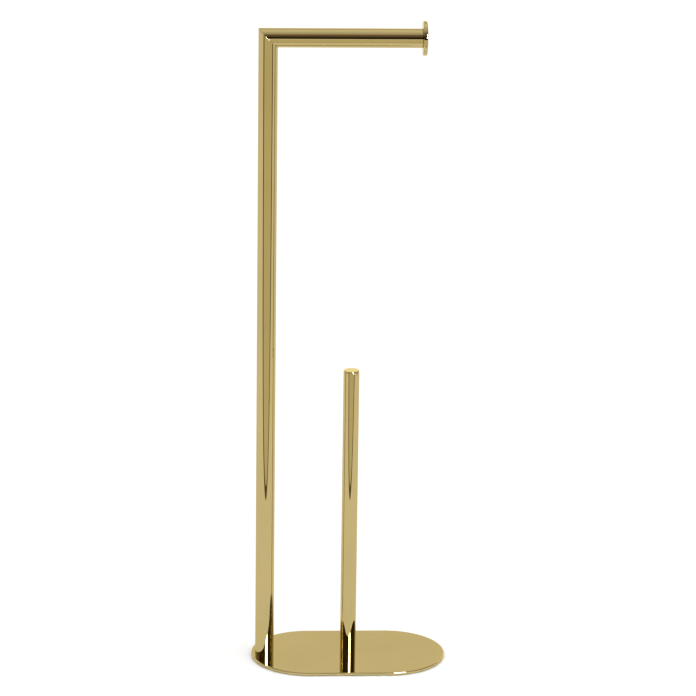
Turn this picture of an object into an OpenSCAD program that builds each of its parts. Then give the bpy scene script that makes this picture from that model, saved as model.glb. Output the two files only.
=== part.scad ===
// Free-standing toilet roll stand with a horizontal roll arm and a reserve-roll post.
// Millimetres. +X points along the arm to its end disc, +Y to the back, +Z up.
// The origin is on the floor, under the middle of the base plate.

/* [Base plate] */
// Length of the base plate, left to right
base_length = 198; // [180:1:280]
// Width of the base plate, front to back, and the diameter of its round ends
base_width = 118; // [90:1:160]
// Thickness of the steel base plate
base_thickness = 3; // [3:0.1:10]
// Radius rolled on the plate's upper edge
base_edge_radius = 0.8; // [0.2:0.1:1.4]
// Thickness of the non-slip pad glued under the plate
pad_thickness = 0.5; // [0.4:0.1:3]
// How far the pad's outline stays inside the plate's
pad_inset = 2.5; // [1:0.5:3.5]

/* [Main post and arm] */
// Outer diameter of the post and arm tube
post_diameter = 19; // [19:0.5:25]
// Wall of the post and arm tube
post_wall = 1.2; // [0.8:0.1:1.4]
// Distance from the plate's left end to the post's axis
post_inset = 13.5; // [13.5:0.5:30]
// Height of the arm's axis above the floor
arm_height = 642; // [500:1:800]
// Clear length of the arm, between the post and the end disc
arm_clear_length = 141; // [115:1:200]

/* [End disc] */
// Diameter of the disc that keeps the roll on the arm
disc_diameter = 34; // [28:0.5:38]
// Thickness of the disc
disc_thickness = 4.2; // [3.5:0.1:6]
// Radius on both edges of the disc
disc_edge_radius = 0.8; // [0.2:0.1:1.5]
// Length of the spigot that centres the disc in the arm tube
disc_spigot_length = 4; // [2:0.5:6]

/* [Reserve post] */
// Outer diameter of the reserve post
reserve_diameter = 16; // [14:0.5:22]
// Wall of the reserve post
reserve_wall = 1; // [0.8:0.1:1.5]
// Height of the reserve post's flat top above the floor
reserve_height = 305; // [150:1:420]
// Distance from the middle of the plate to the reserve post's axis, to the right
reserve_offset = 0; // [-10:1:60]
// Thickness of the cap's head, which is as wide as the tube
cap_head_thickness = 1.6; // [1:0.1:5]
// Radius on the upper edge of the cap's head
cap_edge_radius = 0.5; // [0.2:0.1:0.9]
// Length of the cap's spigot inside the tube
cap_spigot_length = 8; // [4:0.5:20]

/* [Fixings] */
// Nominal thread diameter of the base screws and of the disc's stud
thread_diameter = 6; // [6:0.5:8]
// Diameter of the countersunk screw head
screw_head_diameter = 11.3; // [10:0.1:11.5]
// Overall length of a base screw
screw_length = 16; // [12:1:18]
// Width across flats of the hexagon sockets
socket_width = 4; // [2.5:0.5:4]
// Depth of the hexagon sockets
socket_depth = 2.2; // [1.5:0.1:2.6]
// Length of the threaded plugs pressed into the tubes' ends
plug_length = 20; // [16:1:40]
// Length of the headless stud between the arm's plug and the disc
stud_length = 16; // [14:1:20]
// Diameter of the pin that keeps the main post from turning on the plate
pin_diameter = 2.5; // [2:0.5:3]
// Length of that pin
pin_length = 6; // [5:0.5:10]
// Depth of the pin's blind hole in the plate
pin_depth_in_plate = 1.5; // [1:0.1:1.6]
// Wall left in the plug outside the pin
pin_wall = 0.95; // [0.6:0.05:1]

/* [Clearances] */
// Radial clearance of the plugs and spigots in the tubes
tube_fit = 0.05; // [0.02:0.01:0.2]
// Radial clearance of the threads and of the pin in their holes
thread_fit = 0.05; // [0.02:0.01:0.1]
// Radial clearance of the screws in the plate
screw_clearance = 0.2; // [0.1:0.05:0.3]
// How far the screw heads sit above the plate's underside
head_recess = 0.15; // [0.05:0.05:0.2]
// Radial clearance of the pad's access holes around the screw heads
pad_hole_clearance = 2.2; // [1:0.1:3]
// Gap left behind the end of a pin or a spigot
end_gap = 0.2; // [0.1:0.1:0.5]
// Bevel on the tubes' square-cut outer edges
tube_bevel = 0.3; // [0.1:0.05:0.5]

/* [Hidden] */
$fn = 96;
// Overlap that lets a cutter pass cleanly through a face
cut = 0.1;

plate_top = pad_thickness + base_thickness;
plate_end_radius = base_width / 2;
end_spacing = base_length - base_width;

post_radius = post_diameter / 2;
post_bore_radius = post_radius - post_wall;
post_x = post_inset - base_length / 2;
disc_x = post_x + post_radius + arm_clear_length;

reserve_radius = reserve_diameter / 2;
reserve_bore_radius = reserve_radius - reserve_wall;
reserve_tube_top = reserve_height - cap_head_thickness;

thread_radius = thread_diameter / 2;
head_radius = screw_head_diameter / 2;
// A 90 degree countersunk head is as high as it narrows
head_height = head_radius - thread_radius;
screw_z = pad_thickness + head_recess;
tapped_radius = thread_radius + thread_fit;
screw_hole_radius = thread_radius + screw_clearance;
// Half of the stud sits in the arm's plug, and the rest in the disc's spigot and disc
stud_in_disc = disc_spigot_length + disc_thickness / 2;
stud_x = disc_x + disc_thickness / 2 - stud_length;
arm_plug_end = disc_x - disc_spigot_length - end_gap;
// The pin stands near the rim of the main post's plug, clear of the screw's head
pin_radius = pin_diameter / 2;
pin_offset = post_bore_radius - tube_fit - pin_wall - pin_radius;
pin_z = plate_top - pin_depth_in_plate;

gold = [0.80, 0.70, 0.46];
zinc = [0.72, 0.73, 0.75];
dark_steel = [0.35, 0.35, 0.37];
pad_black = [0.12, 0.12, 0.12];

// The axis of the main post, at the plate's top
module at_post() {
    translate([post_x, 0, plate_top])
        children();
}

// The axis of the reserve post, at the plate's top
module at_reserve() {
    translate([reserve_offset, 0, plate_top])
        children();
}

// The arm's axis, with the children's +Z turned along +X and starting at the given x
module along_arm(x) {
    translate([x, 0, arm_height])
        rotate([0, 90, 0])
            children();
}

// Half of a plate's section: its upper edge is an arc of the given radius
module edge_section(half_width, thickness, edge_radius) {
    square([half_width, thickness - edge_radius]);
    square([half_width - edge_radius, thickness]);
    translate([half_width - edge_radius, thickness - edge_radius])
        circle(r = edge_radius);
}

// A plate with straight sides and half-round ends, from z = 0 up
module round_ended_plate(thickness, edge_radius) {
    for (end = [0, 1])
        mirror([end, 0, 0])
            translate([end_spacing / 2, 0, 0])
                rotate([0, 0, -90])
                    rotate_extrude(angle = 180)
                        edge_section(plate_end_radius, thickness, edge_radius);
    rotate([90, 0, 90])
        linear_extrude(end_spacing, center = true)
            for (side = [0, 1])
                mirror([side, 0])
                    edge_section(plate_end_radius, thickness, edge_radius);
}

// A tube along +Z with its lower outer edge bevelled
module bevelled_tube(radius, bore_radius, length) {
    difference() {
        union() {
            cylinder(h = tube_bevel, r1 = radius - tube_bevel, r2 = radius);
            translate([0, 0, tube_bevel])
                cylinder(h = length - tube_bevel, r = radius);
        }
        translate([0, 0, -cut])
            cylinder(h = length + 2 * cut, r = bore_radius);
    }
}

// Everything on one side of the 45 degree mitre plane: side is 1 for the arm, -1 for the post
module mitre_half(side) {
    reach = 2 * (arm_height + base_length);
    translate([post_x, 0, arm_height])
        rotate([0, 45, 0])
            translate([-reach / 2, -reach / 2, side > 0 ? 0 : -reach])
                cube(reach);
}

// A round plug along +Z with a tapped hole right through it
module tapped_plug(radius, length) {
    difference() {
        cylinder(h = length, r = radius);
        translate([0, 0, -cut])
            cylinder(h = length + 2 * cut, r = tapped_radius);
    }
}

// A countersunk clearance hole through the plate, from the plate's underside up
module countersunk_hole() {
    translate([0, 0, pad_thickness - cut])
        cylinder(h = base_thickness + 2 * cut, r = screw_hole_radius);
    translate([0, 0, pad_thickness - cut])
        cylinder(
            h = head_height + head_recess + cut,
            r1 = head_radius + screw_clearance + head_recess + cut,
            r2 = screw_hole_radius
        );
}

// A countersunk hexagon-socket screw, from its head's lower face up
module countersunk_screw() {
    difference() {
        union() {
            cylinder(h = head_height, r1 = head_radius, r2 = thread_radius);
            translate([0, 0, head_height])
                cylinder(h = screw_length - head_height, r = thread_radius);
        }
        translate([0, 0, -cut])
            hexagon_socket();
    }
}

// The cutter for a hexagon socket that starts one cut below z = 0
module hexagon_socket() {
    cylinder(h = socket_depth + cut, d = socket_width / cos(30), $fn = 6);
}

// Steel base plate, countersunk for both screws and blind-drilled for the locating pin
module base_plate() {
    color(gold)
        difference() {
            translate([0, 0, pad_thickness])
                round_ended_plate(base_thickness, base_edge_radius);
            translate([post_x, 0, 0])
                countersunk_hole();
            translate([reserve_offset, 0, 0])
                countersunk_hole();
            translate([post_x - pin_offset, 0, pin_z])
                cylinder(h = pin_depth_in_plate + cut, r = pin_radius + thread_fit);
        }
}

// Non-slip pad under the plate, with an access hole at each screw
module base_pad() {
    hole_radius = head_radius + pad_hole_clearance;
    pad_radius = plate_end_radius - pad_inset;
    color(pad_black)
        difference() {
            union() {
                for (side = [-1, 1])
                    translate([side * end_spacing / 2, 0, 0])
                        cylinder(h = pad_thickness, r = pad_radius);
                translate([-end_spacing / 2, -pad_radius, 0])
                    cube([end_spacing, 2 * pad_radius, pad_thickness]);
            }
            for (x = [post_x, reserve_offset])
                translate([x, 0, -cut])
                    cylinder(h = pad_thickness + 2 * cut, r = hole_radius);
        }
}

// Upright tube, cut at 45 degrees where it meets the arm
module main_post() {
    color(gold)
        intersection() {
            at_post()
                bevelled_tube(
                    post_radius, post_bore_radius,
                    arm_height + 2 * post_radius - plate_top
                );
            mitre_half(-1);
        }
}

// Horizontal tube, cut at 45 degrees where it meets the post and square at the disc
module arm_tube() {
    blank = arm_clear_length + 3 * post_radius;
    color(gold)
        intersection() {
            along_arm(disc_x)
                mirror([0, 0, 1])
                    bevelled_tube(post_radius, post_bore_radius, blank);
            mitre_half(1);
        }
}

// Threaded plug in the foot of the main post, with the locating pin's blind hole
module main_foot_plug() {
    pin_hole_depth = pin_length - pin_depth_in_plate + end_gap;
    color(zinc)
        at_post()
            difference() {
                tapped_plug(post_bore_radius - tube_fit, plug_length);
                translate([-pin_offset, 0, -cut])
                    cylinder(h = pin_hole_depth + cut, r = pin_radius + thread_fit);
            }
}

// Dowel between the plate and the main post's plug
module locating_pin() {
    color(zinc)
        translate([post_x - pin_offset, 0, pin_z])
            cylinder(h = pin_length, r = pin_radius);
}

// Shorter upright tube for the spare rolls
module reserve_post() {
    color(gold)
        at_reserve()
            bevelled_tube(reserve_radius, reserve_bore_radius, reserve_tube_top - plate_top);
}

// Threaded plug in the foot of the reserve post
module reserve_foot_plug() {
    color(zinc)
        at_reserve()
            tapped_plug(reserve_bore_radius - tube_fit, plug_length);
}

// Turned cap: a flat head as wide as the tube on a spigot that is pressed into it
module reserve_cap() {
    color(gold)
        translate([reserve_offset, 0, reserve_tube_top]) {
            rotate_extrude()
                edge_section(reserve_radius, cap_head_thickness, cap_edge_radius);
            translate([0, 0, -cap_spigot_length])
                cylinder(h = cap_spigot_length + cut, r = reserve_bore_radius - tube_fit);
        }
}

// The two identical screws that hold the posts to the plate
module base_screws() {
    color(dark_steel)
        for (x = [post_x, reserve_offset])
            translate([x, 0, screw_z])
                countersunk_screw();
}

// Threaded plug pressed into the arm's open end, just behind the disc's spigot
module arm_end_plug() {
    color(zinc)
        along_arm(arm_plug_end - plug_length)
            tapped_plug(post_bore_radius - tube_fit, plug_length);
}

// Headless stud that joins the end disc to the arm's plug
module disc_stud() {
    color(dark_steel)
        along_arm(stud_x)
            difference() {
                cylinder(h = stud_length, r = thread_radius);
                translate([0, 0, -cut])
                    hexagon_socket();
            }
}

// Turned disc with both edges rounded, a centring spigot and a blind tapped hole
module end_disc() {
    half = disc_thickness / 2;
    color(gold)
        along_arm(disc_x)
            difference() {
                union() {
                    translate([0, 0, half])
                        for (face = [0, 1])
                            mirror([0, 0, face])
                                rotate_extrude()
                                    edge_section(disc_diameter / 2, half, disc_edge_radius);
                    translate([0, 0, -disc_spigot_length])
                        cylinder(h = disc_spigot_length + cut, r = post_bore_radius - tube_fit);
                }
                translate([0, 0, -disc_spigot_length - cut])
                    cylinder(h = stud_in_disc + cut, r = tapped_radius);
            }
}

base_plate();
base_pad();
main_post();
arm_tube();
main_foot_plug();
locating_pin();
reserve_post();
reserve_foot_plug();
reserve_cap();
base_screws();
arm_end_plug();
disc_stud();
end_disc();
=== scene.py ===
"""Looks of a free-standing toilet roll stand in polished pale gold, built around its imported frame.

Every length is in metres. +X runs along the arm to its end disc, +Y to the back, +Z up, and the
origin is on the floor under the middle of the base plate. Places and radii come from the frame's
own boxes; the dataclass fields hold only the small finishing sizes that the frame doesn't have.
"""

import logging
import math
from dataclasses import dataclass
from enum import Enum
from typing import Callable, Iterable, Optional, Sequence, Union

import bmesh
import bpy
import numpy as np
from mathutils import Matrix, Vector

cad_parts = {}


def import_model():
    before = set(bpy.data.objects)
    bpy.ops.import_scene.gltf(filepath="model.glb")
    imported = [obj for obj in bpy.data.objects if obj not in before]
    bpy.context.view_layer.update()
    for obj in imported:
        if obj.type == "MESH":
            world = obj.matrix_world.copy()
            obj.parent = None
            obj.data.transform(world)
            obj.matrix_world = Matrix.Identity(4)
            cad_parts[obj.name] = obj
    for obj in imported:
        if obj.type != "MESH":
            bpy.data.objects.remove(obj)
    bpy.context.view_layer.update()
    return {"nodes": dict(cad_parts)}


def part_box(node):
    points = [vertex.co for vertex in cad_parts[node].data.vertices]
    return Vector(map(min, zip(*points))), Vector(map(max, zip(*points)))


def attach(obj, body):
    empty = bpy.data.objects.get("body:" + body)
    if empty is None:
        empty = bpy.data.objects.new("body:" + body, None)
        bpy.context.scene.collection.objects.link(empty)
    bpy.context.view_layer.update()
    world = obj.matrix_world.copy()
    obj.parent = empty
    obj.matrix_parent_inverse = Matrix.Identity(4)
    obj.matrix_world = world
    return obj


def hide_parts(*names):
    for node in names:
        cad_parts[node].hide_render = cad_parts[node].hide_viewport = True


LOG = logging.getLogger("roll_stand")
MM = 0.001
# Points closer than MERGE become one, and edges shorter than SLIVER go
MERGE = 2e-7
SLIVER = 1e-8
BODY = "root"
Number = Union[int, float]


class Axis(Enum):
    """Which way a turned or drawn piece lies, as the world axes of its (u, v, s) frame."""

    UPRIGHT = (0, 1, 2)
    ALONG_ARM = (2, 1, 0)


class Slot(Enum):
    """Names of the material slots."""

    GOLD = "polished_gold"
    PAD = "pad"
    PLUG = "plug_steel"
    SCREW = "screw_steel"


# ---------------------------------------------------------------------------------------------
# Shader maths
# ---------------------------------------------------------------------------------------------


class Sock:
    """A node's output socket, on which Python's operators add Math nodes."""

    def __init__(self, graph: "Graph", link: bpy.types.NodeSocket) -> None:
        """Wraps one output socket of the graph."""
        self.graph = graph
        self.link = link

    def _math(self, operation: str, a: object, b: object) -> "Sock":
        """A Math node on two values."""
        return self.graph.node("ShaderNodeMath", {"operation": operation}, [a, b])

    def __add__(self, other: object) -> "Sock":
        """self + other."""
        return self._math("ADD", self, other)

    __radd__ = __add__

    def __sub__(self, other: object) -> "Sock":
        """self - other."""
        return self._math("SUBTRACT", self, other)

    def __rsub__(self, other: object) -> "Sock":
        """other - self."""
        return self._math("SUBTRACT", other, self)

    def __mul__(self, other: object) -> "Sock":
        """self * other."""
        return self._math("MULTIPLY", self, other)

    __rmul__ = __mul__

    def __truediv__(self, other: object) -> "Sock":
        """self / other."""
        return self._math("DIVIDE", self, other)


class Graph:
    """A node tree that is written as expressions."""

    def __init__(self, tree: bpy.types.NodeTree) -> None:
        """Empties the tree and starts writing in it."""
        self.tree = tree
        tree.nodes.clear()

    def node(
        self,
        kind: str,
        settings: Optional[dict] = None,
        inputs: Union[dict, Sequence, None] = None,
        output: Union[int, str] = 0,
    ) -> Sock:
        """Adds one node.

        Args:
            kind: the node's type name.
            settings: properties set before its sockets are filled; "stops" fills a colour ramp.
            inputs: values or links, by socket name or in socket order.
            output: the output socket to hand back, by index or name.

        Returns:
            The chosen output socket.
        """
        made = self.tree.nodes.new(kind)
        for name, value in (settings or {}).items():
            if name == "stops":
                self._fill_ramp(made.color_ramp, value)
            else:
                setattr(made, name, value)
        pairs = inputs.items() if isinstance(inputs, dict) else enumerate(inputs or [])
        for key, value in pairs:
            self._feed(made.inputs[key], value)
        return Sock(self, made.outputs[output] if len(made.outputs) else None)

    def _feed(self, socket: bpy.types.NodeSocket, value: object) -> None:
        """Links or sets one input socket.

        Args:
            socket: the input.
            value: a link, a constant, or None to leave it alone.
        """
        if isinstance(value, Sock):
            self.tree.links.new(value.link, socket)
        elif value is not None:
            socket.default_value = value

    @staticmethod
    def _fill_ramp(ramp: bpy.types.ColorRamp, stops: Sequence) -> None:
        """Gives a ramp its stops.

        Args:
            ramp: the ramp.
            stops: (place, value) pairs, where a value is a number or a colour.
        """
        while len(ramp.elements) < len(stops):
            ramp.elements.new(1.0)
        for element, (place, value) in zip(ramp.elements, stops):
            element.position = place
            rgb = (value,) * 3 if isinstance(value, (int, float)) else value
            element.color = (*rgb, 1.0)

    def smooth(self, value: Sock, low: float, high: float, start: float, end: float) -> Sock:
        """A smooth step.

        Args:
            value: what is mapped.
            low: the value at which the step starts.
            high: the value at which it ends.
            start: the result up to low.
            end: the result from high on.

        Returns:
            The mapped value.
        """
        return self.node(
            "ShaderNodeMapRange",
            {"interpolation_type": "SMOOTHSTEP"},
            [value, low, high, start, end],
        )

    def mix(self, factor: Sock, a: object, b: object) -> Sock:
        """A colour mix from a to b."""
        settings = {"data_type": "RGBA"}
        return self.node("ShaderNodeMix", settings, {0: factor, 6: a, 7: b}, 2)

    def object_place(self, scale: Sequence[float]) -> Sock:
        """Object coordinates, scaled along each axis."""
        place = self.node("ShaderNodeTexCoord", output="Object")
        return self.node("ShaderNodeMapping", None, {"Vector": place, "Scale": scale})

    def noise(self, where: Sock, scale: float, detail: float, rough: float = 0.5) -> Sock:
        """A noise texture's value, from 0 to 1."""
        values = {"Vector": where, "Scale": scale, "Detail": detail, "Roughness": rough}
        return self.node("ShaderNodeTexNoise", None, values, "Fac")

    def bump(self, height: Sock, strength: float, distance: float) -> Sock:
        """A Bump node's normal."""
        values = {"Height": height, "Strength": strength, "Distance": distance}
        return self.node("ShaderNodeBump", None, values, "Normal")

    def surface(self, **values: object) -> None:
        """Ends a material in a Principled shader.

        Args:
            values: the shader's sockets, named with underscores for spaces.
        """
        inputs = {name.replace("_", " "): value for name, value in values.items()}
        shader = self.node("ShaderNodeBsdfPrincipled", None, inputs)
        self.node("ShaderNodeOutputMaterial", None, {"Surface": shader})


def rgba(colour: Sequence[float]) -> tuple:
    """A colour with full alpha."""
    return (*colour, 1.0)


def shade(colour: Sequence[float], factor: float) -> tuple:
    """A colour made lighter or darker by a factor, with full alpha."""
    return tuple(min(1.0, c * factor) for c in colour) + (1.0,)


@dataclass(frozen=True)
class PolishedGold:
    """Pale gold plating over mirror-polished steel, with faint drawing lines and handling haze."""

    name: str
    colour: tuple = (0.512, 0.406, 0.178)
    # How much of the full mirror is left at a glancing angle
    glancing: tuple = (0.86, 0.79, 0.60)
    # Polishing lines per metre across the lines, and how many times longer than wide they are
    lines: tuple = (700.0, 700.0, 9.0)
    line_height: float = 0.3e-6
    cloud_scale: float = 14.0
    smudge_scale: float = 38.0
    polish: float = 0.018
    haze: float = 0.018

    def make(self) -> bpy.types.Material:
        """Builds the material: haze feeds the roughness, and drawing lines feed the bump.

        Returns:
            The new material.
        """
        material = bpy.data.materials.new(self.name)
        material.use_nodes = True
        g = Graph(material.node_tree)
        lines = g.noise(g.object_place(self.lines), 1.0, 3.0, 0.55)
        even = g.object_place((1.0, 1.0, 1.0))
        cloud = g.noise(even, self.cloud_scale, 4.0, 0.55)
        smudge = g.smooth(g.noise(even, self.smudge_scale, 2.0), 0.55, 0.72, 0.0, 1.0)
        warmth = g.smooth(cloud, 0.3, 0.7, 0.0, 1.0)
        colour = g.mix(warmth, shade(self.colour, 0.975), shade(self.colour, 1.025))
        rough = self.polish + self.haze * (0.35 * cloud + 0.3 * smudge + 0.15 * lines)
        g.surface(
            Base_Color=colour,
            Metallic=1.0,
            Roughness=rough,
            Specular_Tint=rgba(self.glancing),
            Normal=g.bump(lines, 1.0, self.line_height),
        )
        return material


@dataclass(frozen=True)
class FoamRubber:
    """Matt black closed-cell foam rubber with a fine pebbled skin and specks of dust."""

    name: str
    colour: tuple = (0.030, 0.030, 0.032)
    pebble_scale: float = 900.0
    pebble_height: float = 0.12 * MM
    dust_scale: float = 260.0
    dust_colour: tuple = (0.16, 0.155, 0.15)

    def make(self) -> bpy.types.Material:
        """Builds the material: cells feed the bump, and their walls are slightly paler.

        Returns:
            The new material.
        """
        material = bpy.data.materials.new(self.name)
        material.use_nodes = True
        g = Graph(material.node_tree)
        even = g.object_place((1.0, 1.0, 1.0))
        cells = g.node(
            "ShaderNodeTexVoronoi",
            {"feature": "DISTANCE_TO_EDGE"},
            {"Vector": even, "Scale": self.pebble_scale},
            "Distance",
        )
        wall = g.smooth(cells, 0.0, 0.12, 1.0, 0.0)
        dust = g.smooth(g.noise(even, self.dust_scale, 3.0), 0.62, 0.7, 0.0, 0.35)
        worn = g.mix(wall * 0.5, rgba(self.colour), shade(self.colour, 2.2))
        colour = g.mix(dust, worn, rgba(self.dust_colour))
        g.surface(
            Base_Color=colour,
            Roughness=0.78 + 0.12 * wall,
            Normal=g.bump(cells, 0.6, self.pebble_height),
        )
        return material


@dataclass(frozen=True)
class TurnedSteel:
    """Machined steel with tool rings across its axis and a blotchy plating or oxide."""

    name: str
    colour: tuple
    ring_scale: tuple = (60.0, 60.0, 2600.0)
    polish: float = 0.28
    blotch: float = 0.85
    blotch_scale: float = 320.0
    ring_height: float = 4e-6

    def make(self) -> bpy.types.Material:
        """Builds the material: rings feed the bump, and blotches the colour and roughness.

        Returns:
            The new material.
        """
        material = bpy.data.materials.new(self.name)
        material.use_nodes = True
        g = Graph(material.node_tree)
        rings = g.noise(g.object_place(self.ring_scale), 1.0, 2.0)
        even = g.object_place((1.0, 1.0, 1.0))
        cloud = g.smooth(g.noise(even, self.blotch_scale, 4.0, 0.6), 0.35, 0.7, 0.0, 1.0)
        colour = g.mix(cloud, shade(self.colour, self.blotch), rgba(self.colour))
        g.surface(
            Base_Color=colour,
            Metallic=1.0,
            Roughness=self.polish + 0.16 * cloud + 0.1 * rings,
            Normal=g.bump(rings, 0.5, self.ring_height),
        )
        return material


@dataclass(frozen=True)
class PaleFloor:
    """A plain matt white studio floor."""

    name: str = "pale_floor"
    colour: tuple = (0.86, 0.86, 0.86)

    def make(self) -> bpy.types.Material:
        """Builds the material: white paper with a barely visible mottle.

        Returns:
            The new material.
        """
        material = bpy.data.materials.new(self.name)
        material.use_nodes = True
        g = Graph(material.node_tree)
        mottle = g.noise(g.object_place((1.0, 1.0, 1.0)), 5.0, 3.0)
        colour = g.mix(mottle, shade(self.colour, 0.995), shade(self.colour, 1.005))
        g.surface(Base_Color=colour, Roughness=0.9, Specular_IOR_Level=0.0)
        return material


@dataclass(frozen=True)
class Glow:
    """An evenly lit studio card that only reflections see."""

    name: str
    colour: tuple
    level: float

    def make(self) -> bpy.types.Material:
        """Builds the material: a plain emitter.

        Returns:
            The new material.
        """
        material = bpy.data.materials.new(self.name)
        material.use_nodes = True
        g = Graph(material.node_tree)
        values = {"Color": rgba(self.colour), "Strength": self.level}
        glow = g.node("ShaderNodeEmission", None, values)
        g.node("ShaderNodeOutputMaterial", None, {"Surface": glow})
        return material


# ---------------------------------------------------------------------------------------------
# Meshes from arrays
# ---------------------------------------------------------------------------------------------


class Shell:
    """Collects grids and rings of points, and turns them into one closed, smooth-shaded mesh."""

    def __init__(self) -> None:
        """Starts an empty shell."""
        self._points: list = []
        self._faces: list = []
        self._rims: list = []
        self._count = 0

    def grid(self, points: np.ndarray, close_rows: bool = False) -> "Shell":
        """Adds a grid whose columns run round a closed ring.

        Args:
            points: an array of rows x columns x 3.
            close_rows: whether the last row joins the first again.

        Returns:
            The shell, for chaining.
        """
        rows, columns = points.shape[:2]
        index = np.arange(rows * columns).reshape(rows, columns) + self._count
        here = index if close_rows else index[:-1]
        above = np.roll(index, -1, axis=0) if close_rows else index[1:]
        quads = [here, np.roll(here, -1, axis=1), np.roll(above, -1, axis=1), above]
        self._points.append(points.reshape(-1, 3))
        self._faces.extend(np.stack(quads, axis=-1).reshape(-1, 4).tolist())
        self._count += rows * columns
        return self

    def flat(self, rings: Iterable[np.ndarray]) -> "Shell":
        """Marks a flat region for filling, given its outline and the outlines of its holes."""
        self._rims.append([np.asarray(ring) for ring in rings])
        return self

    def build(self, name: str, material: bpy.types.Material, crease: float = 32.0) -> bpy.types.Object:
        """Makes the object.

        Args:
            name: the piece's name.
            material: its finish.
            crease: edges that turn by more than this many degrees stay sharp.

        Returns:
            The new object, at the origin.
        """
        mesh = bpy.data.meshes.new(name)
        mesh.from_pydata(np.vstack(self._points).tolist(), [], self._faces)
        work = bmesh.new()
        work.from_mesh(mesh)
        for rings in self._rims:
            self._fill(work, rings)
        bmesh.ops.remove_doubles(work, verts=work.verts, dist=MERGE)
        bmesh.ops.dissolve_degenerate(work, edges=work.edges, dist=SLIVER)
        bmesh.ops.recalc_face_normals(work, faces=work.faces)
        work.to_mesh(mesh)
        work.free()
        mesh.polygons.foreach_set("use_smooth", [True] * len(mesh.polygons))
        mesh.set_sharp_from_angle(angle=math.radians(crease))
        mesh.materials.append(material)
        made = bpy.data.objects.new(name, mesh)
        bpy.context.scene.collection.objects.link(made)
        return made

    @staticmethod
    def _fill(work: bmesh.types.BMesh, rings: Sequence[np.ndarray]) -> None:
        """Fills a flat region with triangles.

        Args:
            work: the mesh being built.
            rings: the region's outline, and those of its holes.
        """
        edges = []
        for ring in rings:
            verts = [work.verts.new(p) for p in ring.tolist()]
            edges += [work.edges.new((a, b)) for a, b in zip(verts, verts[1:] + verts[:1])]
        bmesh.ops.triangle_fill(work, use_beauty=True, edges=edges)


def turns(count: int) -> np.ndarray:
    """Evenly spaced angles round a full turn, without the last one."""
    return np.arange(count) * (2.0 * math.pi / count)


def corner(centre: Sequence[float], radius: float, start: float, end: float, steps: int) -> list:
    """Points (r, s) on an arc: the centre plus the radius times the cosine and sine of an angle.

    Args:
        centre: the arc's centre (r, s).
        radius: the arc's radius.
        start: the first angle in degrees, from the r axis towards the s axis.
        end: the last angle in degrees.
        steps: the number of stretches between the points.

    Returns:
        A list of (r, s) points.
    """
    angles = np.radians(np.linspace(start, end, steps + 1))
    r = centre[0] + radius * np.cos(angles)
    s = centre[1] + radius * np.sin(angles)
    return list(zip(r.tolist(), s.tolist()))


def place(axis: Axis, centre: Sequence[float], u: np.ndarray, v: np.ndarray, s: np.ndarray) -> np.ndarray:
    """Lays (u, v, s) points in the world: each goes to its own world axis, plus a centre.

    Args:
        axis: which way the piece lies.
        centre: the world place of u = v = s = 0.
        u: values across the piece.
        v: values across the piece, square to u.
        s: values along the piece.

    Returns:
        An array of the inputs' common shape x 3.
    """
    u, v, s = np.broadcast_arrays(u, v, s)
    world = np.empty(u.shape + (3,))
    for values, index in zip((u, v, s), axis.value):
        world[..., index] = values + centre[index]
    return world


def turned(
    profile: Sequence[tuple],
    axis: Axis,
    centre: Sequence[float],
    segments: int = 192,
    reach: Optional[Callable[[np.ndarray, np.ndarray], np.ndarray]] = None,
) -> np.ndarray:
    """A profile carried round an axis: u = r cos(a), v = r sin(a), s = s.

    Args:
        profile: (r, s) points along the profile.
        axis: which way the piece lies.
        centre: where s = 0 lies on the axis.
        segments: how many stretches the ring has.
        reach: gives the radius from the profile's radius and the angle, where it isn't round.

    Returns:
        An array of points x segments x 3.
    """
    points = np.asarray(profile, float)
    angle = turns(segments)[None, :]
    radius = points[:, :1] * np.ones_like(angle)
    if reach is not None:
        radius = reach(radius, angle)
    return place(axis, centre, radius * np.cos(angle), radius * np.sin(angle), points[:, 1:])


# ---------------------------------------------------------------------------------------------
# The frame's sizes
# ---------------------------------------------------------------------------------------------


@dataclass(frozen=True)
class Measures:
    """Sizes and places read from the frame's boxes."""

    plate_low: Vector
    plate_high: Vector
    pad_low: Vector
    pad_high: Vector
    post_x: float
    post_radius: float
    arm_height: float
    disc_x: float
    disc_end: float
    disc_radius: float
    spigot_start: float
    reserve_x: float
    reserve_radius: float
    reserve_tube_top: float
    cap_top: float
    cap_spigot_start: float
    screw_low: float
    screw_top: float
    post_bore: float
    reserve_bore: float

    @classmethod
    def read(cls) -> "Measures":
        """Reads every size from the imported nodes.

        Returns:
            The filled measures.
        """
        plate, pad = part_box("base_plate"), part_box("base_pad")
        post, arm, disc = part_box("main_post"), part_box("arm_tube"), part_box("end_disc")
        reserve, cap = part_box("reserve_post"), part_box("reserve_cap")
        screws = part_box("base_screws")
        post_plug, reserve_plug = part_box("main_foot_plug"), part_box("reserve_foot_plug")
        return cls(
            plate_low=plate[0],
            plate_high=plate[1],
            pad_low=pad[0],
            pad_high=pad[1],
            post_x=(post[0].x + post[1].x) / 2,
            post_radius=(post[1].y - post[0].y) / 2,
            arm_height=(arm[0].z + arm[1].z) / 2,
            disc_x=arm[1].x,
            disc_end=disc[1].x,
            disc_radius=(disc[1].z - disc[0].z) / 2,
            spigot_start=disc[0].x,
            reserve_x=(reserve[0].x + reserve[1].x) / 2,
            reserve_radius=(reserve[1].y - reserve[0].y) / 2,
            reserve_tube_top=reserve[1].z,
            cap_top=cap[1].z,
            cap_spigot_start=cap[0].z,
            screw_low=screws[0].z,
            screw_top=screws[1].z,
            post_bore=(post_plug[1].y - post_plug[0].y) / 2,
            reserve_bore=(reserve_plug[1].y - reserve_plug[0].y) / 2,
        )


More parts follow.
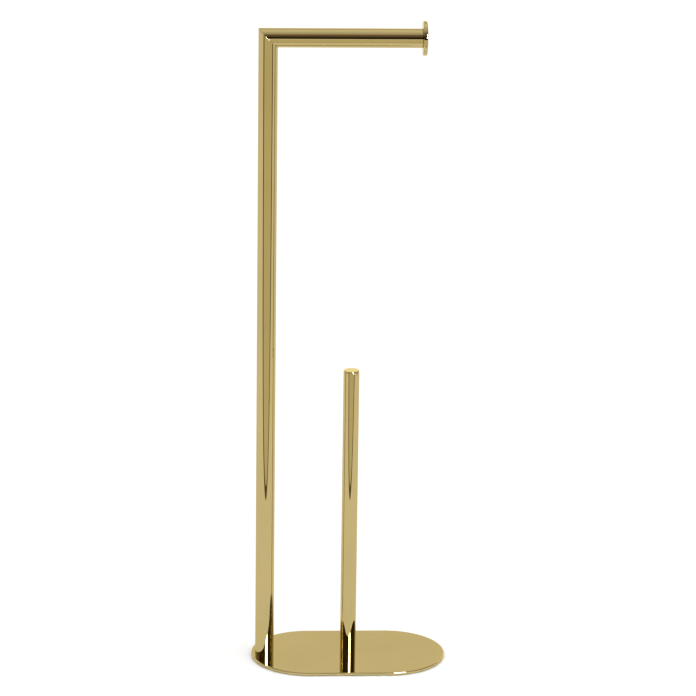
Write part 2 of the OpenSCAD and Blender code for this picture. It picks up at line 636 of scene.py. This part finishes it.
def keep(piece: bpy.types.Object, slot: Slot, *nodes: str) -> bpy.types.Object:
    """Rides a finished piece on the body, in place of its frame nodes, and reports it.

    Args:
        piece: the piece.
        slot: not used.
        nodes: the frame nodes that it stands for.

    Returns:
        The same piece.
    """
    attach(piece, BODY)
    if nodes:
        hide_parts(*nodes)
    LOG.info("%s: %d faces", piece.name, len(piece.data.polygons))
    return piece


# ---------------------------------------------------------------------------------------------
# Base
# ---------------------------------------------------------------------------------------------


@dataclass
class Base:
    """The round-ended plate, its non-slip pad and the two screws that hold the posts."""

    sizes: Measures
    gold: bpy.types.Material
    rubber: bpy.types.Material
    steel: bpy.types.Material
    edge_radius: float = 0.8 * MM
    lower_edge_radius: float = 0.25 * MM
    pad_edge_radius: float = 0.12 * MM
    pad_hole_radius: float = 7.85 * MM
    sink_radius: float = 6.0 * MM
    screw_hole_radius: float = 3.2 * MM
    head_radius: float = 5.65 * MM
    thread_radius: float = 2.95 * MM
    thread_pitch: float = 1.0 * MM
    thread_depth: float = 0.32 * MM
    socket_width: float = 4.0 * MM
    socket_depth: float = 2.2 * MM
    # How far a flat runs before its first inner ring, so that the flat itself shades flat
    support: float = 0.15 * MM
    end_segments: int = 128
    hole_segments: int = 96
    screw_segments: int = 72
    head_land: float = 0.15 * MM
    socket_lip: float = 0.2 * MM
    tip_chamfer: float = 0.6 * MM
    side_segments: int = 4

    def outline(self, half_length: float, half_width: float) -> np.ndarray:
        """A stadium's outline: two half circles joined by straight sides.

        A half circle's points are its centre plus the radius times (cos a, sin a), and the straight
        sides are evenly divided between their ends.

        Args:
            half_length: half the overall length.
            half_width: half the width, which is the end radius.

        Returns:
            An array of points x 2.
        """
        centre = half_length - half_width
        angle = np.linspace(-math.pi / 2, math.pi / 2, self.end_segments + 1)
        right = np.stack([centre + half_width * np.cos(angle), half_width * np.sin(angle)], 1)
        run = np.linspace(1.0, -1.0, self.side_segments + 1)[1:-1]
        top = np.stack([centre * run, np.full_like(run, half_width)], 1)
        return np.vstack([right, top, -right, -top])

    def swept(self, half_length: float, half_width: float, profile: Sequence[tuple]) -> np.ndarray:
        """A profile carried round the stadium, one ring for each point.

        Args:
            half_length: half the stadium's overall length.
            half_width: half its width.
            profile: (inset, z) points.

        Returns:
            An array of profile points x ring points x 3.
        """
        rings = [self.outline(half_length - d, half_width - d) for d, _ in profile]
        heights = [np.full((len(ring), 1), z) for ring, (_, z) in zip(rings, profile)]
        return np.stack([np.hstack(pair) for pair in zip(rings, heights)])

    def screw_places(self) -> list:
        """The axes of the two screws."""
        return [self.sizes.post_x, self.sizes.reserve_x]

    def plate(self) -> bpy.types.Object:
        """The plate: a rounded rim swept round the stadium, flat faces, and two countersunk holes.

        Returns:
            The finished piece.
        """
        low, high = self.sizes.plate_low, self.sizes.plate_high
        half_length, half_width = (high.x - low.x) / 2, (high.y - low.y) / 2
        upper, lower, tuck = self.edge_radius, self.lower_edge_radius, self.support
        # Angles run from the rim's side, at 0, to its top, at 90 degrees
        top_arc = corner((-upper, high.z - upper), upper, 90, 0, 12)
        low_arc = corner((-lower, low.z + lower), lower, 0, -90, 5)
        rim = [(upper + tuck, high.z)]
        rim += [(-r, z) for r, z in top_arc] + [(0.0, high.z - upper - tuck)]
        rim += [(0.0, low.z + lower + tuck)] + [(-r, z) for r, z in low_arc]
        rim += [(lower + tuck, low.z)]
        grid = self.swept(half_length, half_width, rim)
        shell = Shell().grid(grid).flat([grid[0]])
        below, above = [grid[-1]], []
        sink = self.sink_radius - self.screw_hole_radius
        for x in self.screw_places():
            profile = [(self.sink_radius, low.z), (self.screw_hole_radius, low.z + sink)]
            profile += [(self.screw_hole_radius, high.z - tuck)]
            hole = turned(profile, Axis.UPRIGHT, (x, 0.0, 0.0), self.hole_segments)
            floor = turned([(0.0, high.z - tuck)], Axis.UPRIGHT, (x, 0.0, 0.0), self.hole_segments)
            shell.grid(np.concatenate([hole, floor]))
            below.append(hole[0])
        shell.flat(below)
        return keep(shell.build("base_plate_polished", self.gold), Slot.GOLD, "base_plate")

    def pad(self) -> bpy.types.Object:
        """The pad: a thin sheet with softened edges and an access hole round each screw.

        Returns:
            The finished piece.
        """
        low, high = self.sizes.pad_low, self.sizes.pad_high
        half_length, half_width = (high.x - low.x) / 2, (high.y - low.y) / 2
        soft = self.pad_edge_radius
        profile = [(-r, z) for r, z in corner((-soft, high.z - soft), soft, 90, 0, 3)]
        profile += [(-r, z) for r, z in corner((-soft, low.z + soft), soft, 0, -90, 3)]
        rim = self.swept(half_length, half_width, profile)
        shell = Shell().grid(rim)
        top, bottom = [rim[0]], [rim[-1]]
        for x in self.screw_places():
            edge = [(self.pad_hole_radius + soft - r, z) for r, z in
                    corner((0.0, high.z - soft), soft, 90, 0, 3)]
            edge += [(self.pad_hole_radius + soft - r, z) for r, z in
                     corner((0.0, low.z + soft), soft, 0, -90, 3)]
            hole = turned(edge, Axis.UPRIGHT, (x, 0.0, 0.0), self.screw_segments)
            shell.grid(hole)
            top.append(hole[0])
            bottom.append(hole[-1])
        shell.flat(top).flat(bottom)
        return keep(shell.build("base_pad_foam", self.rubber), Slot.PAD, "base_pad")

    def screw(self, name: str, x: float) -> bpy.types.Object:
        """A countersunk hexagon-socket screw with a cut thread.

        The socket's radius at an angle is its half width over the cosine of the angle from the middle
        of the nearest flat. The thread's radius falls from the crest by a triangle wave of the height
        in pitches minus the share of a turn, which winds it into a helix.

        Args:
            name: the piece's name.
            x: where the screw's axis is.

        Returns:
            The finished piece.
        """
        low, top = self.sizes.screw_low, self.sizes.screw_top
        half_flat, depth = self.socket_width / 2, self.socket_depth
        neck = low + self.head_radius - self.thread_radius
        land, lip, ring = self.head_land, self.socket_lip, self.screw_segments
        centre = (x, 0.0, 0.0)

        def hexagon(radius: np.ndarray, angle: np.ndarray) -> np.ndarray:
            """A ring's radius, stretched to a hexagon's outline."""
            return radius / np.cos(np.mod(angle, math.pi / 3) - math.pi / 6)

        def threaded(radius: np.ndarray, angle: np.ndarray) -> np.ndarray:
            """A ring's radius less the groove that winds round it."""
            wave = np.mod(height[:, None] / self.thread_pitch - angle / (2 * math.pi), 1.0)
            fade = np.clip((height[:, None] - neck) / self.thread_pitch, 0.0, 1.0)
            return radius - self.thread_depth * fade * np.abs(2.0 * wave - 1.0)

        socket = [(0.0, low + depth + 0.5 * half_flat), (half_flat, low + depth), (half_flat, low + lip)]
        mouth = [(half_flat + lip, low)]
        head = [(self.head_radius - land, low), (self.head_radius, low + land)]
        head += [(self.thread_radius, neck)]
        height = np.linspace(neck, top - self.tip_chamfer, 90)
        shank = np.stack([np.full_like(height, self.thread_radius), height], 1)
        inner = turned(socket, Axis.UPRIGHT, centre, ring, hexagon)
        outer = turned(mouth + head, Axis.UPRIGHT, centre, ring)
        wound = turned(shank, Axis.UPRIGHT, centre, ring, threaded)
        tip = turned([(self.thread_radius - self.tip_chamfer, top), (0.0, top)], Axis.UPRIGHT, centre, ring)
        shell = Shell().grid(np.concatenate([inner, outer, wound, tip]))
        return keep(shell.build(name, self.steel), Slot.SCREW, "base_screws")

    def build(self) -> None:
        """Makes the plate, the pad and both screws."""
        self.plate()
        self.pad()
        self.screw("main_post_screw", self.sizes.post_x)
        self.screw("reserve_post_screw", self.sizes.reserve_x)


# ---------------------------------------------------------------------------------------------
# Main post, arm and end disc
# ---------------------------------------------------------------------------------------------


@dataclass
class MainFrame:
    """The tall post and the arm, mitred together, and the disc on the arm's free end."""

    sizes: Measures
    upright_gold: bpy.types.Material
    arm_gold: bpy.types.Material
    disc_gold: bpy.types.Material
    wall: float = 1.2 * MM
    foot_round: float = 0.5 * MM
    end_round: float = 0.25 * MM
    support: float = 0.2 * MM
    disc_edge_radius: float = 1.1 * MM
    bead_radius: float = 0.3 * MM
    bead_sink: float = 0.22 * MM
    corner_bead: float = 0.7 * MM
    bore_radius: float = 3.05 * MM
    segments: int = 256

    def mitred_tube(self, axis: Axis, centre: Sequence[float], square_end: float, sign: float) -> Shell:
        """A tube from a square end, with a rounded outer edge, to a mitre through the centre.

        A ring at radius r has u = r cos(a) and v = r sin(a). Its s is fixed at the square end, and
        minus u at the mitre, so the ring there lies on the plane where s and u cancel.

        Args:
            axis: which way the tube lies.
            centre: where the two tubes' axes meet.
            square_end: the square end's distance from the centre along the tube.
            sign: 1 where the tube runs towards +s from the mitre, -1 where it runs towards -s.

        Returns:
            The tube's closed shell.
        """
        outer, inner = self.sizes.post_radius, self.sizes.post_radius - self.wall
        rounding = self.foot_round if axis is Axis.UPRIGHT else self.end_round
        end = sign * square_end
        arc = corner((outer - rounding, rounding), rounding, -90, 0, 6)
        # Each row is (radius, s, share of the mitre's slope)
        rows = [(inner, end, 0.0)] + [(r, end - sign * s, 0.0) for r, s in arc]
        rows += [(outer, end - sign * (rounding + self.support), 0.0)]
        rows += [(outer, sign * self.support, 1.0), (outer, 0.0, 1.0)]
        rows += [(inner, 0.0, 1.0), (inner, sign * self.support, 1.0)]
        rows += [(inner, end - sign * self.support, 0.0)]
        radius, s, slope = (np.array(column)[:, None] for column in zip(*rows))
        angle = turns(self.segments)[None, :]
        u = radius * np.cos(angle)
        points = place(axis, centre, u, radius * np.sin(angle), s - slope * u)
        return Shell().grid(points, close_rows=True)

    def corner_point(self) -> tuple:
        """Where the post's axis meets the arm's."""
        return (self.sizes.post_x, 0.0, self.sizes.arm_height)

    def post(self) -> bpy.types.Object:
        """The tall tube, from its foot on the plate up to the mitre.

        Returns:
            The finished piece.
        """
        length = self.sizes.arm_height - self.sizes.plate_high.z
        shell = self.mitred_tube(Axis.UPRIGHT, self.corner_point(), length, -1.0)
        return keep(shell.build("main_post_tube", self.upright_gold), Slot.GOLD, "main_post")

    def arm(self) -> bpy.types.Object:
        """The horizontal tube, from the mitre out to the disc.

        Returns:
            The finished piece.
        """
        length = self.sizes.disc_x - self.sizes.post_x
        shell = self.mitred_tube(Axis.ALONG_ARM, self.corner_point(), length, 1.0)
        return keep(shell.build("arm_tube_polished", self.arm_gold), Slot.GOLD, "arm_tube")

    def mitre_bead(self) -> bpy.types.Object:
        """The polished weld along the mitre: a thin rod that follows the joint's ellipse.

        The rod's line is r (cos a, sin a, -cos a) about the corner, sunk a little below the wall. Its
        section is a circle in the plane of the ellipse's outward normal and the mitre's normal, and it
        swells towards the inside of the corner.

        Returns:
            The finished piece.
        """
        angle = turns(self.segments)[:, None]
        inside = ((1.0 + np.cos(angle)) / 2.0) ** 8
        bead = self.bead_radius + (self.corner_bead - self.bead_radius) * inside
        line = self.sizes.post_radius - self.bead_sink
        path = line * np.stack([np.cos(angle), np.sin(angle), -np.cos(angle)], -1)
        # In the mitre plane the ellipse is (sqrt 2 cos a, sin a); its normal is (cos a, sqrt 2 sin a)
        half = math.sqrt(0.5)
        across = np.stack([half * np.cos(angle), math.sqrt(2.0) * np.sin(angle), -half * np.cos(angle)], -1)
        across /= np.linalg.norm(across, axis=-1, keepdims=True)
        normal = np.array([half, 0.0, half])
        section = turns(12)[None, :, None]
        ring = bead[..., None] * (np.cos(section) * across + np.sin(section) * normal)
        points = path + ring + np.array(self.corner_point())
        shell = Shell().grid(points, close_rows=True)
        return keep(shell.build("mitre_weld", self.arm_gold, 60.0), Slot.GOLD)

    def disc(self) -> bpy.types.Object:
        """The end disc: both edges rounded, a spigot in the tube, and a blind hole for the stud.

        Returns:
            The finished piece.
        """
        d = self.sizes
        edge, tuck = self.disc_edge_radius, self.support
        thick = d.disc_end - d.disc_x
        spigot, bore_end = d.spigot_start - d.disc_x, thick / 2
        profile = [(0.0, bore_end), (self.bore_radius, bore_end), (self.bore_radius, spigot)]
        profile += [(d.post_bore - 0.3 * MM, spigot), (d.post_bore, spigot + 0.3 * MM)]
        profile += [(d.post_bore, 0.0), (d.disc_radius - edge - tuck, 0.0)]
        profile += corner((d.disc_radius - edge, edge), edge, -90, 0, 12)
        profile += [(d.disc_radius, edge + tuck), (d.disc_radius, thick - edge - tuck)]
        profile += corner((d.disc_radius - edge, thick - edge), edge, 0, 90, 12)
        profile += [(d.disc_radius - edge - tuck, thick), (0.0, thick)]
        centre = (d.disc_x, 0.0, d.arm_height)
        shell = Shell().grid(turned(profile, Axis.ALONG_ARM, centre, self.segments))
        return keep(shell.build("end_disc_turned", self.disc_gold), Slot.GOLD, "end_disc")

    def build(self) -> None:
        """Makes the post, the arm, the weld between them and the disc."""
        self.post()
        self.arm()
        self.mitre_bead()
        self.disc()


# ---------------------------------------------------------------------------------------------
# Reserve post
# ---------------------------------------------------------------------------------------------


@dataclass
class ReservePost:
    """The shorter post for spare rolls, with its turned cap."""

    sizes: Measures
    gold: bpy.types.Material
    cap_gold: bpy.types.Material
    wall: float = 1.0 * MM
    foot_round: float = 0.5 * MM
    seam_round: float = 0.25 * MM
    cap_edge_radius: float = 0.8 * MM
    support: float = 0.15 * MM
    segments: int = 192

    def tube(self) -> bpy.types.Object:
        """The upright tube: an outer wall with rounded ends, and its bore.

        Returns:
            The finished piece.
        """
        d = self.sizes
        outer, inner = d.reserve_radius, d.reserve_radius - self.wall
        low, top = d.plate_high.z, d.reserve_tube_top
        foot, seam = self.foot_round, self.seam_round
        profile = [(inner, low)] + corner((outer - foot, low + foot), foot, -90, 0, 6)
        profile += [(outer, low + foot + self.support), (outer, top - seam - self.support)]
        profile += corner((outer - seam, top - seam), seam, 0, 90, 4)
        profile += [(inner, top), (inner, top - self.support), (inner, low + self.support)]
        points = turned(profile, Axis.UPRIGHT, (d.reserve_x, 0.0, 0.0), self.segments)
        shell = Shell().grid(points, close_rows=True)
        return keep(shell.build("reserve_post_tube", self.gold), Slot.GOLD, "reserve_post")

    def cap(self) -> bpy.types.Object:
        """The cap: a flat head with a rounded upper edge, a fine seam below it, and a spigot.

        Returns:
            The finished piece.
        """
        d = self.sizes
        radius, edge, seam = d.reserve_radius, self.cap_edge_radius, self.seam_round
        low, top = d.reserve_tube_top, d.cap_top
        spigot, tip = d.reserve_bore, d.cap_spigot_start
        profile = [(0.0, tip), (spigot - 0.4 * MM, tip), (spigot, tip + 0.4 * MM), (spigot, low)]
        profile += corner((radius - seam, low + seam), seam, -90, 0, 4)
        profile += [(radius, low + seam + 0.5 * self.support), (radius, top - edge - 0.5 * self.support)]
        profile += corner((radius - edge, top - edge), edge, 0, 90, 10)
        profile += [(radius - edge - self.support, top), (0.0, top)]
        points = turned(profile, Axis.UPRIGHT, (d.reserve_x, 0.0, 0.0), self.segments)
        shell = Shell().grid(points)
        return keep(shell.build("reserve_cap_turned", self.cap_gold), Slot.GOLD, "reserve_cap")

    def build(self) -> None:
        """Makes the tube and its cap."""
        self.tube()
        self.cap()


# ---------------------------------------------------------------------------------------------
# Hidden steel
# ---------------------------------------------------------------------------------------------


@dataclass
class HiddenSteel:
    """The plugs, the pin and the stud inside the tubes, which keep the frame's own shapes."""

    nodes: dict
    plug: bpy.types.Material
    arm_plug: bpy.types.Material
    stud: bpy.types.Material

    def build(self) -> None:
        """Gives each hidden node its turned-steel finish."""
        finishes = {
            "main_foot_plug": self.plug,
            "reserve_foot_plug": self.plug,
            "locating_pin": self.plug,
            "arm_end_plug": self.arm_plug,
            "disc_stud": self.stud,
        }
        for name, material in finishes.items():
            mesh = self.nodes[name].data
            mesh.materials.clear()
            mesh.materials.append(material)
            LOG.info("%s: %s", name, material.name)


# ---------------------------------------------------------------------------------------------
# Studio
# ---------------------------------------------------------------------------------------------


@dataclass
class Studio:
    """Pale floor, soft light, the cards that the polished surfaces mirror, and the camera."""

    floor_reach: float = 14.0
    overhead_height: float = 5.0
    overhead_size: float = 12.0
    overhead_power: float = 185.0
    # The far ground in front of the stand begins along a curve: its nearest point and its spread
    ground_start: float = 0.50
    ground_spread: float = 0.30
    ground_slope: float = 0.46
    ground_reach: float = 3.4
    seam_width: float = 0.05
    seam_flare: float = 0.34
    card_lift: float = 0.5 * MM
    far_ground_colour: tuple = (0.84, 0.80, 0.645)
    seam_colour: tuple = (1.0, 0.80, 0.40)
    seam_level: float = 0.17
    side_corners: tuple = ((1.0, -0.14), (3.4, -0.46), (3.4, 0.46), (1.0, 0.14))
    side_colour: tuple = (1.0, 0.92, 0.85)
    side_level: float = 0.5
    camera_place: tuple = (-0.16120, -3.12495, 1.24175)
    camera_yaw: float = 2.883
    camera_pitch: float = -16.280
    camera_roll: float = 0.785
    camera_lens: float = 168.755
    sensor: float = 36.0
    # Brightness of the room by height above the horizon in degrees, in front and behind
    front_levels: tuple = (
        (0, 0.006), (9, 0.015), (13, 0.06), (22, 0.07), (27, 0.18), (40, 0.20),
        (46, 0.32), (52, 0.52), (62, 0.70), (78, 0.80), (90, 1.0),
    )
    back_levels: tuple = (
        (0, 1.7), (17, 1.6), (19.5, 1.03), (40, 0.95), (48, 0.75), (56, 0.75), (66, 1.08), (90, 1.0),
    )
    front_tint: tuple = (1.0, 0.80, 0.62)
    lamp_colour: tuple = (0.75, 0.9, 1.5)
    # Cosines of the azimuth from the front between which the back turns into the front
    front_edge: tuple = (-0.52, -0.34)
    # Heights, as shares of a right angle, between which the front's warm tint fades
    warm_edge: tuple = (0.45, 0.75)
    lamp_edge: float = 1.0
    # Lamps as azimuth from the front towards +X and height, both from and to in degrees, and level
    lamps: tuple = ((13.0, 35.0, 8.0, 35.0, 45.0), (-91.0, -80.0, 8.0, 40.0, 0.9))

    def floor(self) -> None:
        """A large flat floor at z = 0."""
        r = self.floor_reach
        mesh = bpy.data.meshes.new("floor")
        mesh.from_pydata([(-r, -r, 0), (r, -r, 0), (r, r, 0), (-r, r, 0)], [], [(0, 1, 2, 3)])
        mesh.materials.append(PaleFloor().make())
        floor = bpy.data.objects.new("floor", mesh)
        bpy.context.scene.collection.objects.link(floor)

    def card(self, name: str, points: Sequence, faces: Sequence, finish: Glow) -> None:
        """A card that only mirror reflections see.

        Args:
            name: the card's name.
            points: its corners.
            faces: its faces, as corner numbers.
            finish: its glow.
        """
        mesh = bpy.data.meshes.new(name)
        mesh.from_pydata([tuple(p) for p in points], [], faces)
        mesh.materials.append(finish.make())
        card = bpy.data.objects.new(name, mesh)
        bpy.context.scene.collection.objects.link(card)
        card.visible_camera = False
        card.visible_diffuse = False
        card.visible_shadow = False

    def ground_edge(self, x: np.ndarray, width: float) -> np.ndarray:
        """The far ground's near edge, a width further out.

        With w = sqrt(x^2 + spread^2) - spread, y is -(start + slope w) - (width + flare w).

        Args:
            x: places along the edge.
            width: how far out, where w is 0.

        Returns:
            The edge's y at each place.
        """
        wide = np.sqrt(x * x + self.ground_spread**2) - self.ground_spread
        edge = self.ground_start + self.ground_slope * wide
        return -edge - width * (1.0 + self.seam_flare / self.seam_width * wide)

    def band(self, name: str, near: float, far: Optional[float], lift: float, finish: Glow) -> None:
        """A card on the floor, along the far ground's edge.

        Args:
            name: the card's name.
            near: the card's near side, as a width beyond the edge.
            far: its far side, or None to run out to the ground's reach.
            lift: its height over the floor.
            finish: its glow.
        """
        x = np.linspace(-self.ground_reach, self.ground_reach, 81)
        far_y = np.full_like(x, -self.ground_reach) if far is None else self.ground_edge(x, far)
        height = np.full_like(x, lift)
        points = np.vstack([
            np.stack([x, self.ground_edge(x, near), height], 1),
            np.stack([x, far_y, height], 1),
        ])
        n = len(x)
        faces = [(i, i + n, i + n + 1, i + 1) for i in range(n - 1)]
        self.card(name, points.tolist(), faces, finish)

    def cards(self) -> None:
        """The far ground, its dark seam, and a dark seam to the right."""
        lift = self.card_lift
        ground = Glow("far_ground", self.far_ground_colour, 1.0)
        seam = Glow("ground_seam", self.seam_colour, self.seam_level)
        side = Glow("side_seam", self.side_colour, self.side_level)
        self.band("far_ground", self.seam_width, None, lift, ground)
        self.band("ground_seam", 0.0, self.seam_width, 2 * lift, seam)
        self.card("side_seam", [(x, y, lift) for x, y in self.side_corners], [(0, 1, 2, 3)], side)

    def overhead(self) -> None:
        """A very large soft light over the floor, which polished surfaces don't mirror."""
        data = bpy.data.lights.new("overhead", "AREA")
        data.shape = "SQUARE"
        data.size = self.overhead_size
        data.energy = self.overhead_power
        light = bpy.data.objects.new("overhead", data)
        light.location = (0.0, 0.0, self.overhead_height)
        light.visible_camera = False
        light.visible_glossy = False
        bpy.context.scene.collection.objects.link(light)

    def room(self) -> None:
        """The room's light by direction: bright behind and above, dim in front near the horizon.

        The height is the arcsine of the direction's z over a right angle. Being in front is minus y
        over the direction's length along the floor.
        """
        world = bpy.data.worlds.new("room")
        bpy.context.scene.world = world
        world.use_nodes = True
        g = Graph(world.node_tree)
        way = g.node("ShaderNodeTexCoord", output="Generated")
        split = g.node("ShaderNodeSeparateXYZ", None, [way])
        x, y, z = (Sock(g, split.link.node.outputs[i]) for i in range(3))
        flat = g.node("ShaderNodeMath", {"operation": "SQRT"}, [x * x + y * y + 1e-6])
        height = g.node("ShaderNodeMath", {"operation": "ARCSINE"}, [z]) * (2.0 / math.pi)
        top = max(level for _, level in self.front_levels + self.back_levels)

        def ramp(levels: Sequence[tuple]) -> Sock:
            """A ramp over the height, scaled so that the brightest level is 1."""
            stops = [(degrees / 90.0, level / top) for degrees, level in levels]
            return g.node("ShaderNodeValToRGB", {"stops": stops}, [height])

        def window(value: Sock, low: float, high: float, soft: float) -> Sock:
            """1 between low and high, falling to 0 over a soft edge on both sides."""
            rise = g.smooth(value, low - soft, low + soft, 0.0, 1.0)
            return rise * g.smooth(value, high - soft, high + soft, 1.0, 0.0)

        in_front = g.smooth(0.0 - y / flat, *self.front_edge, 0.0, 1.0)
        warm = g.smooth(height, *self.warm_edge, 1.0, 0.0) * in_front
        level = g.mix(in_front, ramp(self.back_levels), ramp(self.front_levels))
        tint = g.mix(warm, rgba((1, 1, 1)), rgba(self.front_tint))
        blend = {"data_type": "RGBA", "blend_type": "MULTIPLY"}
        seen = g.node("ShaderNodeMix", blend, {0: 1.0, 6: level, 7: tint}, 2)
        around = g.node("ShaderNodeMath", {"operation": "ARCTAN2"}, [x, 0.0 - y]) * (180.0 / math.pi)
        lamp_light: Union[Sock, float] = 0.0
        for left, right, low, high, strength in self.lamps:
            across = window(around, left, right, self.lamp_edge)
            upright = window(height * 90.0, low, high, self.lamp_edge)
            lamp_light = lamp_light + across * upright * strength
        room_light = g.node("ShaderNodeBackground", None, {"Color": seen, "Strength": top})
        values = {"Color": rgba(self.lamp_colour), "Strength": lamp_light}
        lamps = g.node("ShaderNodeBackground", None, values)
        mirrored = g.node("ShaderNodeAddShader", None, [room_light, lamps])
        plain = g.node("ShaderNodeBackground", None, {"Color": rgba((1, 1, 1)), "Strength": 1.0})
        glossy = g.node("ShaderNodeLightPath", output="Is Glossy Ray")
        both = g.node("ShaderNodeMixShader", None, [glossy, plain, mirrored])
        g.node("ShaderNodeOutputWorld", None, {"Surface": both})
        # Lamps are found by mirror rays alone, because a sampled world can't tell which ray asks
        world.cycles.sampling_method = "NONE"

    def camera(self) -> None:
        """The camera: turned by its yaw, pitch and roll, and never shifted."""
        yaw, pitch, roll = (math.radians(a) for a in (self.camera_yaw, self.camera_pitch, self.camera_roll))
        ahead = Vector((math.sin(yaw) * math.cos(pitch), math.cos(yaw) * math.cos(pitch), math.sin(pitch)))
        level = Vector((math.cos(yaw), -math.sin(yaw), 0.0))
        above = level.cross(ahead)
        right = level * math.cos(roll) + above * math.sin(roll)
        up = above * math.cos(roll) - level * math.sin(roll)
        data = bpy.data.cameras.new("camera")
        data.sensor_width = self.sensor
        data.lens = self.camera_lens
        data.clip_end = 100.0
        camera = bpy.data.objects.new("camera", data)
        turn = Matrix((right, up, -ahead)).transposed().to_4x4()
        camera.matrix_world = Matrix.Translation(Vector(self.camera_place)) @ turn
        bpy.context.scene.collection.objects.link(camera)
        bpy.context.scene.camera = camera

    def build(self) -> None:
        """Sets up the whole studio."""
        view = bpy.context.scene.view_settings
        view.view_transform = "Standard"
        view.look = "None"
        self.floor()
        self.cards()
        self.overhead()
        self.room()
        self.camera()


def main(frame: dict) -> None:
    """Builds the studio and every piece.
    """
    logging.basicConfig(level=logging.INFO, format="%(name)s: %(message)s")
    Studio().build()
    sizes = Measures.read()
    upright = PolishedGold("gold_upright_tube").make()
    along = PolishedGold("gold_arm_tube", lines=(9.0, 700.0, 700.0)).make()
    turned_gold = PolishedGold("gold_turned", lines=(260.0, 260.0, 260.0), line_height=0.25e-6).make()
    plate_gold = PolishedGold("gold_plate", lines=(160.0, 420.0, 420.0), line_height=0.2e-6).make()
    rubber = FoamRubber("foam_rubber").make()
    zinc = TurnedSteel("zinc_plated_steel", (0.62, 0.62, 0.63)).make()
    arm_zinc = TurnedSteel("zinc_plated_steel_arm", (0.62, 0.62, 0.63), (2600.0, 60.0, 60.0)).make()
    black = TurnedSteel("black_oxide_steel", (0.12, 0.12, 0.13), polish=0.38).make()
    Base(sizes, plate_gold, rubber, black).build()
    MainFrame(sizes, upright, along, turned_gold).build()
    ReservePost(sizes, upright, turned_gold).build()
    HiddenSteel(frame["nodes"], zinc, arm_zinc, black).build()


if __name__ == "__main__":
    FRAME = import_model()
    main(FRAME)
